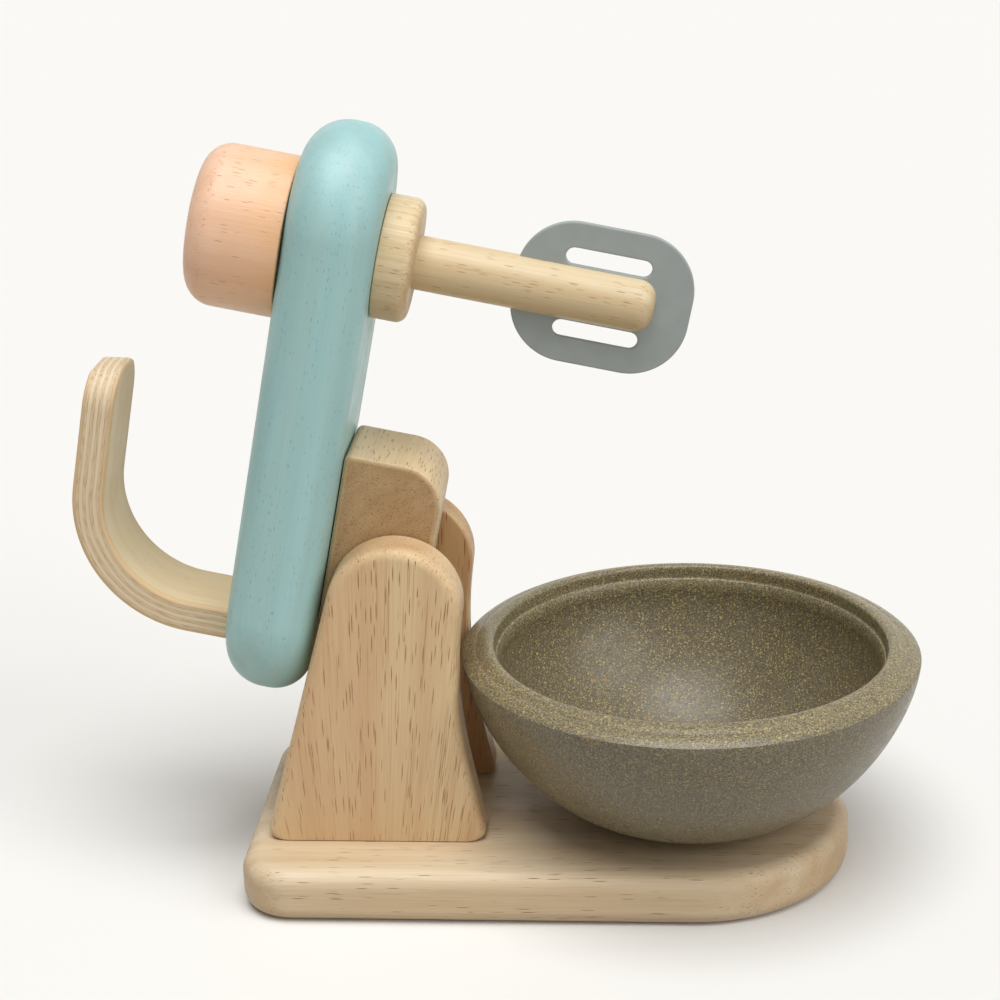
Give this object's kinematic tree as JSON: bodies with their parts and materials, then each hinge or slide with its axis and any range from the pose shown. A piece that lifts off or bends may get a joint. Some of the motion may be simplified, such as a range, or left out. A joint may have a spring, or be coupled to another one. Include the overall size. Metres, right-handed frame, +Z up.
{
  "type": "toy stand mixer",
  "caption": "Wooden toy stand mixer with a tilting head, a hand-spun slotted paddle, a bent lift handle and a loose mixing bowl.",
  "frame": {"origin": "middle of the base board's flat underside", "axes": "+Z up from the underside, +X towards the bowl end of the board, +Y across it"},
  "size_m": [0.2396, 0.1318, 0.218],
  "materials": {
    "rubberwood": "satin",
    "dowel_wood": "matte",
    "teal_wood": "satin",
    "peach_wood": "satin",
    "plywood": "satin",
    "grey_sheet": "matte",
    "wood_composite": "satin"
  },
  "bodies": {
    "base": {"base_board": "rubberwood", "right_upright": "rubberwood", "left_upright": "rubberwood", "right_rear_dowel": "dowel_wood", "right_front_dowel": "dowel_wood", "left_rear_dowel": "dowel_wood", "left_front_dowel": "dowel_wood", "pivot_pin": "dowel_wood"},
    "head": {"head_arm": "teal_wood", "pivot_block": "rubberwood", "block_lower_dowel": "dowel_wood", "block_upper_dowel": "dowel_wood", "lift_handle": "plywood"},
    "mixer": {"mixer_knob": "peach_wood", "mixer_shaft": "rubberwood", "mixer_collar": "rubberwood", "paddle": "grey_sheet"},
    "bowl": {"bowl": "wood_composite"}
  },
  "joints": [
    {"name": "head_tilt", "type": "hinge", "parent": "base", "child": "head", "pos_m": [-0.04705, 0, 0.08964], "axis": [0, 1, 0], "range_deg": [0, 75.3]},
    {"name": "mixer_spin", "type": "hinge", "parent": "head", "child": "mixer", "pos_m": [-0.04423, 0, 0.18117], "axis": [0.9792, 0, -0.2028], "continuous": true},
    {"name": "bowl_lift", "type": "slide", "parent": "base", "child": "bowl", "axis": [0.866, 0, 0.5], "range_m": [0, 0.2]}
  ]
}
